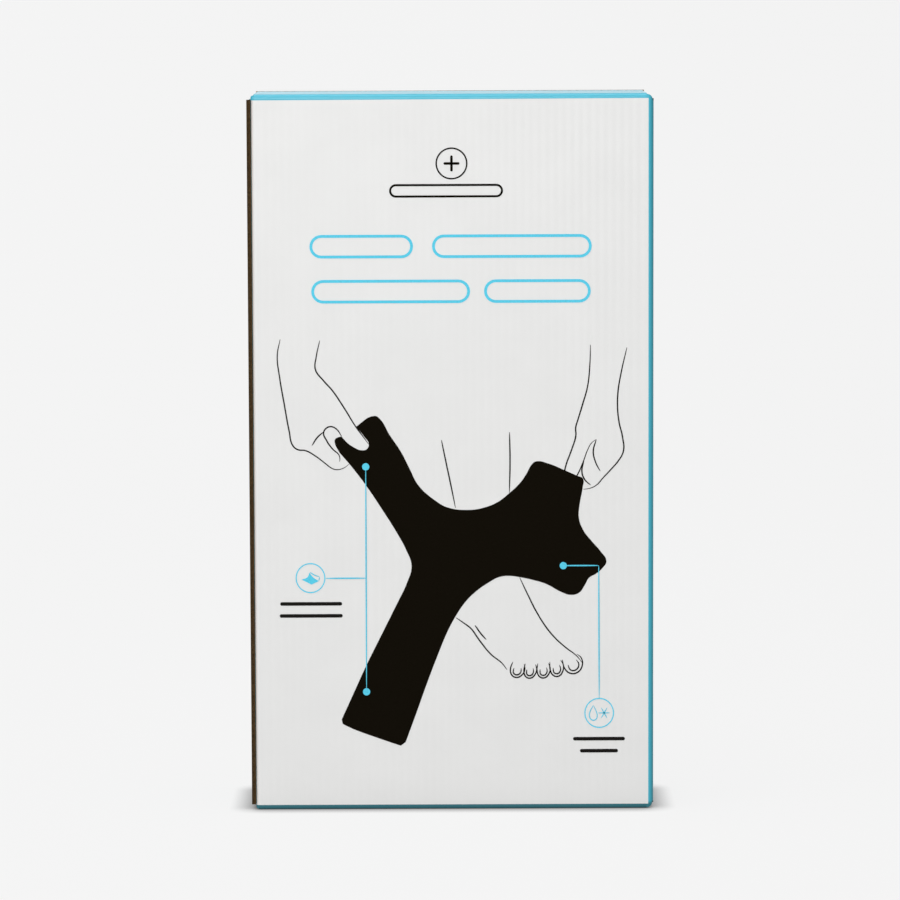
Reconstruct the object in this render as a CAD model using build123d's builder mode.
from build123d import *
import os
from math import radians, tan

os.makedirs("parts", exist_ok=True)

# An upright tuck-end carton of thin corrugated board, with a folded ankle wrap inside.
# X is the width, Y the depth (the printed front is at -Y) and Z is up.
# The origin is the middle of the bottom.

# Carton
box_width = 162.0
box_depth = 50.0
box_height = 288.0
board = 1.6
corner_radius = 1.1
fold_gap = 0.12
layer_gap = 0.35
lid_end_gap = 2.8
glue_flap_width = 18.0
glue_flap_end_gap = 12.0
glue_flap_taper = 8.0

# Tuck flaps, which slide in behind the dust flaps
tuck_length = 18.0
tuck_lean = 19.0
tuck_end_gap = 2.4
tuck_corner_radius = 13.0
tuck_wall_gap = 0.5

# Dust flaps
dust_length = 35.0
dust_front_gap = 1.2
dust_front_slope = 0.62
dust_back_gap = 10.0
dust_shoulder = 6.5
dust_root_gap = 1.6
dust_corner_radius = 4.0

# Folded wrap
wrap_side_gap = 10.4
wrap_head_gap = 36.25
wrap_floor_gap = 2.2
wrap_top_rise = 52.0
wrap_corner_radius = 16.0
lining_thickness = 1.5
pocket_depth = 7.0
cover_thickness = 2.6
cover_edge_radius = 5.0
seam_width = 9.0
binding_width = 3.0
binding_proud = 1.4
spine_depth = 3.6

# Gel packs
film_thickness = 0.5
pack_gap = 0.3
pack_edge_radius = 3.0
pack_foot_gap = 7.5
pack_head_gap = 7.5
pack_corner_radius = 14.0

# Straps, folded over the outside of the wrap
strap_thickness = 3.6
strap_gap = 0.3
strap_root_gap = 0.4
strap_tip_radius = 16.0
upper_strap_width = 70.0
upper_strap_end_gap = 26.0
upper_strap_head_gap = 10.0
lower_strap_width = 74.0
lower_strap_end_gap = 16.0
lower_strap_height = 42.0
hook_thickness = 1.1
hook_length = 48.0
hook_edge_gap = 8.0
hook_corner_radius = 5.0

# Leaflet, in the middle of the fold
leaflet_width = 76.0
leaflet_thickness = 1.0
leaflet_stand = 42.0
leaflet_proud = 8.0

# Places that follow from the sizes above
half_width = box_width / 2
half_depth = box_depth / 2
side_top = box_height - board - layer_gap
side_bottom = board + layer_gap
lid_half_width = half_width - lid_end_gap
lid_back = half_depth - board - tuck_wall_gap
tuck_half_width = half_width - board - tuck_end_gap
tuck_mitre = board / tan(radians(90 - tuck_lean) / 2)
dust_front = dust_front_gap + board - half_depth
dust_back = half_depth - board - dust_back_gap
wrap_bottom = side_bottom + board + wrap_floor_gap
wrap_top = box_height - wrap_head_gap
wrap_width = box_width - 2 * (board + wrap_side_gap)
wrap_half_width = wrap_width / 2
wrap_shoulder = wrap_top - wrap_top_rise
lining_face = leaflet_thickness / 2
pocket_face = lining_face + lining_thickness
pocket_back = pocket_face + pocket_depth
cover_face = pocket_back + cover_thickness
binding_face = lining_face + binding_width
strap_face = cover_face + strap_gap
hook_face = strap_face + strap_thickness
spine_reach = pocket_back
spine_bottom = wrap_bottom + wrap_corner_radius
strap_root = -binding_face - strap_root_gap
strap_fold_radius = (strap_face - strap_thickness + strap_root) / 2
upper_strap_length = wrap_width - upper_strap_end_gap
upper_strap_height = wrap_shoulder - wrap_bottom - upper_strap_head_gap - upper_strap_width
lower_strap_length = wrap_width - lower_strap_end_gap
upper_hook_middle = wrap_half_width - upper_strap_length + hook_edge_gap + hook_length / 2
lower_hook_middle = wrap_half_width - lower_strap_length + hook_edge_gap + hook_length / 2
pack_bottom = wrap_bottom + seam_width + pack_foot_gap
pack_height = wrap_shoulder - pack_head_gap - pack_bottom
pack_middle = pack_bottom + pack_height / 2
leaflet_height = wrap_top + leaflet_proud - wrap_bottom - leaflet_stand
pocket_width = wrap_width - 2 * seam_width
pocket_height = pack_height + 2 * pack_gap
film_width = pocket_width - 2 * pack_gap
film_height = pack_height
gel_width = film_width - 2 * film_thickness
gel_height = film_height - 2 * film_thickness
glue_flap_front = board - half_depth
glue_flap_top = box_height - glue_flap_end_gap
dust_root_back = half_depth - board - dust_root_gap
middle_plane = Plane.XY.offset(box_height / 2)
tuck_plane = Plane(
    origin=(0, lid_back, box_height),
    x_dir=Vector(0, 0, 1).rotate(Axis.X, -tuck_lean),
    z_dir=(1, 0, 0),
)


# Front panel: mitred folds at its top and bottom, rounded folds at both sides
with BuildPart() as front_panel:
    with BuildSketch(Plane.YZ.offset(board - half_width)):
        with BuildLine():
            Polyline(
                (-half_depth, fold_gap),
                (-half_depth + board, board + fold_gap),
                (-half_depth + board, box_height - board - fold_gap),
                (-half_depth, box_height - fold_gap),
                close=True,
            )
        make_face()
    extrude(amount=box_width - board)
    front_folds = front_panel.edges().filter_by(Axis.Z).group_by(Axis.Y)[0]
    fillet(front_folds, radius=corner_radius)

# The section of a side panel at the right, mitred towards its two dust flaps
with BuildSketch(Plane.XZ) as side_section:
    with BuildLine():
        Polyline(
            (half_width, side_bottom + fold_gap),
            (half_width - board, side_bottom + board + fold_gap),
            (half_width - board, side_top - board - fold_gap),
            (half_width, side_top - fold_gap),
            close=True,
        )
    make_face()

# Right side panel, between the front panel and the back panel
with BuildPart() as right_side_panel:
    with BuildSketch(Plane.XZ.offset(half_depth - board)):
        add(side_section.sketch_local)
    extrude(amount=2 * board - box_depth)

# Left side panel: its raw front edge lies beside the front panel
with BuildPart() as left_side_panel:
    with BuildSketch(Plane.XZ.offset(half_depth)):
        add(side_section.sketch_local)
        mirror(about=Plane.YZ, mode=Mode.REPLACE)
    extrude(amount=board - box_depth)

# Back panel, with a raw edge at its top and bottom
with BuildPart() as back_panel:
    with BuildSketch(Plane.XY):
        with Locations((0, half_depth - board / 2)):
            Rectangle(box_width, board)
    extrude(amount=box_height)
    back_folds = back_panel.edges().filter_by(Axis.Z).group_by(Axis.Y)[-1]
    fillet(back_folds, radius=corner_radius)

# Glue flap: the turned-in left edge of the front panel, glued inside the left side panel
with BuildPart() as glue_flap:
    with BuildSketch(Plane.YZ.offset(board - half_width)):
        with BuildLine():
            Polyline(
                (glue_flap_front, glue_flap_end_gap),
                (glue_flap_front + glue_flap_width, glue_flap_end_gap + glue_flap_taper),
                (glue_flap_front + glue_flap_width, glue_flap_top - glue_flap_taper),
                (glue_flap_front, glue_flap_top),
                close=True,
            )
        make_face()
    extrude(amount=board)

# Top lid: mitred to the front panel and to its leaning tuck flap
with BuildPart() as top_lid_panel:
    with BuildSketch(Plane.YZ.offset(-lid_half_width)):
        with BuildLine():
            Polyline(
                (-half_depth + fold_gap, box_height),
                (-half_depth + fold_gap + board, box_height - board),
                (lid_back - fold_gap - tuck_mitre, box_height - board),
                (lid_back - fold_gap, box_height),
                close=True,
            )
        make_face()
    extrude(amount=2 * lid_half_width)

# Bottom lid: the same piece, turned over
with BuildPart() as bottom_lid_panel:
    add(top_lid_panel.part)
    mirror(about=middle_plane, mode=Mode.REPLACE)

# Top tuck flap: it hangs from the lid's back fold and leans into the carton
with BuildPart() as top_tuck_flap:
    with BuildSketch(tuck_plane.offset(-tuck_half_width)):
        with BuildLine():
            Polyline(
                (-fold_gap, 0),
                (-fold_gap - tuck_mitre, board),
                (-tuck_length, board),
                (-tuck_length, 0),
                close=True,
            )
        make_face()
    extrude(amount=2 * tuck_half_width)
    tuck_tip = top_tuck_flap.faces().sort_by(Axis.Z)[0]
    tuck_corners = tuck_tip.edges().filter_by(Axis.X, reverse=True)
    fillet(tuck_corners, radius=tuck_corner_radius)

# Bottom tuck flap: the same piece, turned over
with BuildPart() as bottom_tuck_flap:
    add(top_tuck_flap.part)
    mirror(about=middle_plane, mode=Mode.REPLACE)

# The outline of a right dust flap, seen from above
with BuildSketch() as dust_outline:
    with BuildLine():
        Polyline(
            (half_width, dust_front),
            (half_width - dust_length, dust_front + dust_front_slope * dust_length),
            (half_width - dust_length, dust_back),
            (half_width - board - dust_shoulder, dust_back),
            (half_width - board, dust_root_back),
            (half_width, dust_root_back),
            close=True,
        )
    make_face()
    dust_tip = dust_outline.vertices().group_by(Axis.X)[0]
    fillet(dust_tip, radius=dust_corner_radius)

# Right dust flap of the top, mitred along its fold on the side panel
with BuildPart() as top_dust_flap_right:
    with BuildSketch(Plane.XY.offset(side_top - board)):
        add(dust_outline.sketch)
    extrude(amount=board)
    dust_root = top_dust_flap_right.edges().filter_by(Axis.Y).group_by(Axis.X)[-1]
    chamfer(dust_root.sort_by(Axis.Z)[0], length=board - fold_gap)

# The other three dust flaps are the same piece, turned over or turned to the other side
with BuildPart() as top_dust_flap_left:
    add(top_dust_flap_right.part)
    mirror(about=Plane.YZ, mode=Mode.REPLACE)
with BuildPart() as bottom_dust_flap_right:
    add(top_dust_flap_right.part)
    mirror(about=middle_plane, mode=Mode.REPLACE)
with BuildPart() as bottom_dust_flap_left:
    add(top_dust_flap_left.part)
    mirror(about=middle_plane, mode=Mode.REPLACE)



def wrap_shape(proud):
    """The folded wrap's outline, grown by proud: straight sides, a domed top, round corners."""
    side = wrap_half_width + proud
    with BuildSketch() as outline:
        with BuildLine():
            bottom_line = Line((-side, wrap_bottom - proud), (side, wrap_bottom - proud))
            Line(bottom_line @ 1, (side, wrap_shoulder))
            EllipticalCenterArc(
                (0, wrap_shoulder), side, wrap_top_rise + proud, start_angle=0, arc_size=180
            )
            Line((-side, wrap_shoulder), bottom_line @ 0)
        make_face()
        bottom_corners = outline.vertices().group_by(Axis.Y)[0]
        fillet(bottom_corners, radius=wrap_corner_radius + proud)
    return outline.sketch


wrap_outline = wrap_shape(0)
binding_outline = wrap_shape(binding_proud)

# Linings: soft inner faces of the two halves, one each side of the leaflet
with BuildPart() as lining_front:
    with BuildSketch(Plane.XZ.offset(lining_face)):
        add(wrap_outline)
    extrude(amount=lining_thickness)
with BuildPart() as lining_back:
    add(lining_front.part)
    mirror(about=Plane.XZ, mode=Mode.REPLACE)

# Outer covers: each has a pocket for a gel pack and a seam round it
with BuildPart() as cover_front:
    with BuildSketch(Plane.XZ.offset(pocket_face)):
        add(wrap_outline)
    extrude(amount=pocket_depth + cover_thickness)
    cover_rim = cover_front.faces().sort_by(Axis.Y)[0].edges()
    fillet(cover_rim, radius=cover_edge_radius)
    with BuildSketch(Plane.XZ.offset(pocket_face)):
        with Locations((0, pack_middle)):
            RectangleRounded(pocket_width, pocket_height, pack_corner_radius)
    extrude(amount=pocket_depth, mode=Mode.SUBTRACT)
with BuildPart() as cover_back:
    add(cover_front.part)
    mirror(about=Plane.XZ, mode=Mode.REPLACE)

# Gel packs: a closed film pouch, filled with gel
with BuildPart() as gel_front:
    with BuildSketch(Plane.XZ.offset(pocket_face + pack_gap + film_thickness)):
        with Locations((0, pack_middle)):
            RectangleRounded(gel_width, gel_height, pack_corner_radius - pack_gap - film_thickness)
    extrude(amount=pocket_depth - 2 * (pack_gap + film_thickness))
    gel_rims = gel_front.edges().group_by(Axis.Y)
    fillet(gel_rims[0] + gel_rims[-1], radius=pack_edge_radius - film_thickness)
with BuildPart() as gel_film_front:
    with BuildSketch(Plane.XZ.offset(pocket_face + pack_gap)):
        with Locations((0, pack_middle)):
            RectangleRounded(film_width, film_height, pack_corner_radius - pack_gap)
    extrude(amount=pocket_depth - 2 * pack_gap)
    film_rims = gel_film_front.edges().group_by(Axis.Y)
    fillet(film_rims[0] + film_rims[-1], radius=pack_edge_radius)
    add(gel_front.part, mode=Mode.SUBTRACT)
with BuildPart() as gel_back:
    add(gel_front.part)
    mirror(about=Plane.XZ, mode=Mode.REPLACE)
with BuildPart() as gel_film_back:
    add(gel_film_front.part)
    mirror(about=Plane.XZ, mode=Mode.REPLACE)

# Fold spine: the turned fabric that joins the two halves along their left edge
with BuildPart() as fold_spine:
    with BuildSketch(Plane.XY.offset(spine_bottom)):
        with Locations((-wrap_half_width, 0)):
            Ellipse(spine_depth, spine_reach)
        split(bisect_by=Plane.YZ.offset(-wrap_half_width), keep=Keep.BOTTOM)
    extrude(amount=wrap_shoulder - spine_bottom)

# Edge bindings: a tape round each half's edge, which stops at the spine
with BuildPart() as binding_front:
    with BuildSketch(Plane.XZ.offset(lining_face)):
        add(binding_outline)
        add(wrap_outline, mode=Mode.SUBTRACT)
        with Locations((-wrap_half_width, (spine_bottom + wrap_shoulder) / 2)):
            Rectangle(4 * binding_proud, wrap_shoulder - spine_bottom, mode=Mode.SUBTRACT)
    extrude(amount=binding_width)
with BuildPart() as binding_back:
    add(binding_front.part)
    mirror(about=Plane.XZ, mode=Mode.REPLACE)

# Upper strap: folded round the open edge and laid over the front cover
with BuildPart() as upper_strap:
    with BuildSketch(Plane.XY.offset(wrap_bottom + upper_strap_height)):
        with BuildLine():
            Polyline(
                (wrap_half_width, strap_root),
                (wrap_half_width, strap_root - strap_thickness),
            )
            JernArc(
                (wrap_half_width, strap_root - strap_thickness), (1, 0), strap_fold_radius, -180
            )
            Polyline(
                (wrap_half_width, -strap_face),
                (wrap_half_width - upper_strap_length, -strap_face),
                (wrap_half_width - upper_strap_length, -hook_face),
                (wrap_half_width, -hook_face),
            )
            JernArc(
                (wrap_half_width, -hook_face), (1, 0), strap_fold_radius + strap_thickness, 180
            )
        make_face()
    extrude(amount=upper_strap_width)
    strap_tip = upper_strap.faces().sort_by(Axis.X)[0].edges().filter_by(Axis.Y)
    fillet(strap_tip, radius=strap_tip_radius)

# Lower strap: the same way round, laid over the back cover
with BuildPart() as lower_strap:
    with BuildSketch(Plane.XY.offset(wrap_bottom + lower_strap_height)):
        with BuildLine():
            Polyline(
                (wrap_half_width, -strap_root),
                (wrap_half_width, strap_thickness - strap_root),
            )
            JernArc(
                (wrap_half_width, strap_thickness - strap_root), (1, 0), strap_fold_radius, 180
            )
            Polyline(
                (wrap_half_width, strap_face),
                (wrap_half_width - lower_strap_length, strap_face),
                (wrap_half_width - lower_strap_length, hook_face),
                (wrap_half_width, hook_face),
            )
            JernArc(
                (wrap_half_width, hook_face), (1, 0), strap_fold_radius + strap_thickness, -180
            )
        make_face()
    extrude(amount=lower_strap_width)
    strap_tip = lower_strap.faces().sort_by(Axis.X)[0].edges().filter_by(Axis.Y)
    fillet(strap_tip, radius=strap_tip_radius)

# Hook patches, sewn to the outward face of each strap's tip
with BuildPart() as upper_hook_patch:
    with BuildSketch(Plane.XZ.offset(hook_face)):
        with Locations((upper_hook_middle, wrap_bottom + upper_strap_height + upper_strap_width / 2)):
            RectangleRounded(hook_length, upper_strap_width - 2 * hook_edge_gap, hook_corner_radius)
    extrude(amount=hook_thickness)
with BuildPart() as lower_hook_patch:
    with BuildSketch(Plane.XZ.offset(-hook_face)):
        with Locations((lower_hook_middle, wrap_bottom + lower_strap_height + lower_strap_width / 2)):
            RectangleRounded(hook_length, lower_strap_width - 2 * hook_edge_gap, hook_corner_radius)
    extrude(amount=-hook_thickness)

# Leaflet: a folded paper sheet, kept in the middle of the wrap's fold
with BuildPart() as leaflet:
    with BuildSketch(Plane.XY.offset(wrap_bottom + leaflet_stand)):
        Rectangle(leaflet_width, leaflet_thickness)
    extrude(amount=leaflet_height)

pieces = {
    "front_panel": front_panel,
    "right_side_panel": right_side_panel,
    "left_side_panel": left_side_panel,
    "back_panel": back_panel,
    "glue_flap": glue_flap,
    "top_lid_panel": top_lid_panel,
    "top_tuck_flap": top_tuck_flap,
    "top_dust_flap_left": top_dust_flap_left,
    "top_dust_flap_right": top_dust_flap_right,
    "bottom_lid_panel": bottom_lid_panel,
    "bottom_tuck_flap": bottom_tuck_flap,
    "bottom_dust_flap_left": bottom_dust_flap_left,
    "bottom_dust_flap_right": bottom_dust_flap_right,
    "cover_front": cover_front,
    "cover_back": cover_back,
    "lining_front": lining_front,
    "lining_back": lining_back,
    "fold_spine": fold_spine,
    "binding_front": binding_front,
    "binding_back": binding_back,
    "gel_film_front": gel_film_front,
    "gel_front": gel_front,
    "gel_film_back": gel_film_back,
    "gel_back": gel_back,
    "upper_strap": upper_strap,
    "lower_strap": lower_strap,
    "upper_hook_patch": upper_hook_patch,
    "lower_hook_patch": lower_hook_patch,
    "leaflet": leaflet,
}
for name, piece in pieces.items():
    piece.part.label = name
    export_step(piece.part, f"parts/{name}.step")
